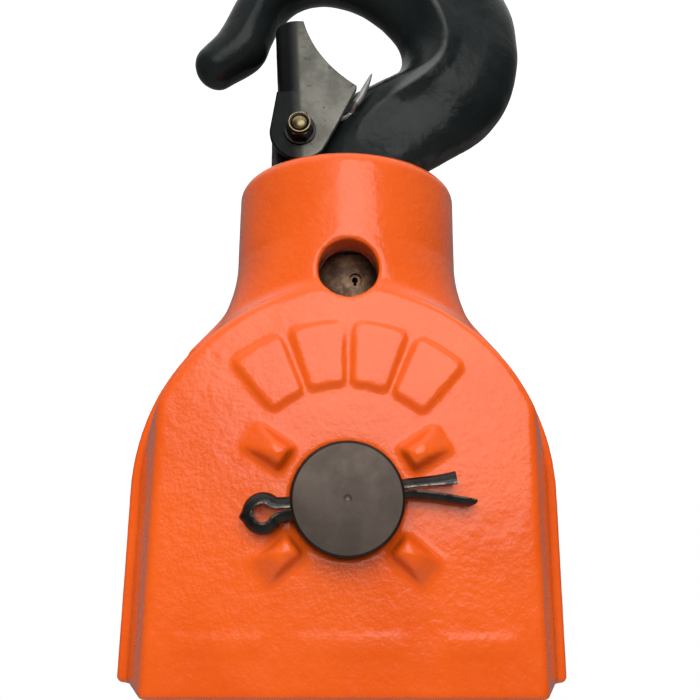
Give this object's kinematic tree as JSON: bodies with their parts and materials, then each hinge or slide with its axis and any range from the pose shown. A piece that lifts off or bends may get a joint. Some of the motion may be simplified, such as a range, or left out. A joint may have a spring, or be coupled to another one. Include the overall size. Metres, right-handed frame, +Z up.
{
  "type": "crane hook block",
  "caption": "Bottom hook block of a chain hoist: painted cast frame round a pocketed chain wheel, forged hook swivelling on a thrust ball bearing, sprung safety latch.",
  "frame": {"origin": "centre of the chain wheel and of its axle, midway between the frame's front and rear faces", "axes": "+Z up along the hook's shank, towards the chain; -Y is the front, where the split pin holds the axle, and the wheel turns about Y; +X is the side of the hook's tip at rest"},
  "size_m": [0.1076, 0.0746, 0.2235],
  "materials": {
    "orange_enamel": "glossy enamel over a sand casting",
    "forged_black": "black paint on a forging, satin",
    "axle_steel": "dark turned steel",
    "black_oxide": "black oxide",
    "latch_steel": "dull pressed sheet steel, stained",
    "wheel_steel": "hardened, oiled",
    "bronze": "turned bronze",
    "bright_steel": "bright steel",
    "plated_steel": "yellow zinc plating",
    "brown_steel": "oiled steel with a film of rust"
  },
  "bodies": {
    "frame": {"hook_frame": "orange_enamel", "axle": "axle_steel", "axle_split_pin": "black_oxide", "wheel_spacer_front": "bright_steel", "wheel_spacer_rear": "bright_steel", "bearing_lower_race": "bright_steel"},
    "wheel": {"chain_wheel": "wheel_steel", "wheel_bush": "bronze"},
    "hook": {"hook": "forged_black", "hook_nut": "brown_steel", "nut_spring_pin": "brown_steel", "bearing_upper_race": "bright_steel", "latch_pivot_bolt": "plated_steel", "latch_pivot_washer": "black_oxide", "latch_pivot_nut": "black_oxide", "latch_spring": "bright_steel"},
    "ball_set": {"bearing_cage": "bronze", "bearing_ball_01": "bright_steel", "bearing_ball_02": "bright_steel", "bearing_ball_03": "bright_steel", "bearing_ball_04": "bright_steel", "bearing_ball_05": "bright_steel", "bearing_ball_06": "bright_steel", "bearing_ball_07": "bright_steel", "bearing_ball_08": "bright_steel", "bearing_ball_09": "bright_steel", "bearing_ball_10": "bright_steel", "bearing_ball_11": "bright_steel", "bearing_ball_12": "bright_steel"},
    "latch": {"hook_latch": "latch_steel"}
  },
  "joints": [
    {"name": "wheel_spin", "type": "hinge", "parent": "frame", "child": "wheel", "pos_m": [0, 0, 0], "axis": [0, 1, 0], "continuous": true},
    {"name": "hook_swivel", "type": "hinge", "parent": "frame", "child": "hook", "pos_m": [0, 0, -0.0689], "axis": [0, 0, 1], "continuous": true},
    {"name": "ball_orbit", "type": "hinge", "parent": "frame", "child": "ball_set", "pos_m": [0, 0, -0.0689], "axis": [0, 0, 1], "continuous": true},
    {"name": "latch_hinge", "type": "hinge", "parent": "hook", "child": "latch", "pos_m": [0.0135, 0, -0.1018], "axis": [0, 1, 0], "range_deg": [0, 40], "stiffness_Nm_per_rad": 0.04, "springref_deg": -68.75, "deforming": ["latch_spring"]}
  ],
  "couplings": [
    {"joint": "ball_orbit", "follows": "hook_swivel", "ratio": 0.5}
  ]
}
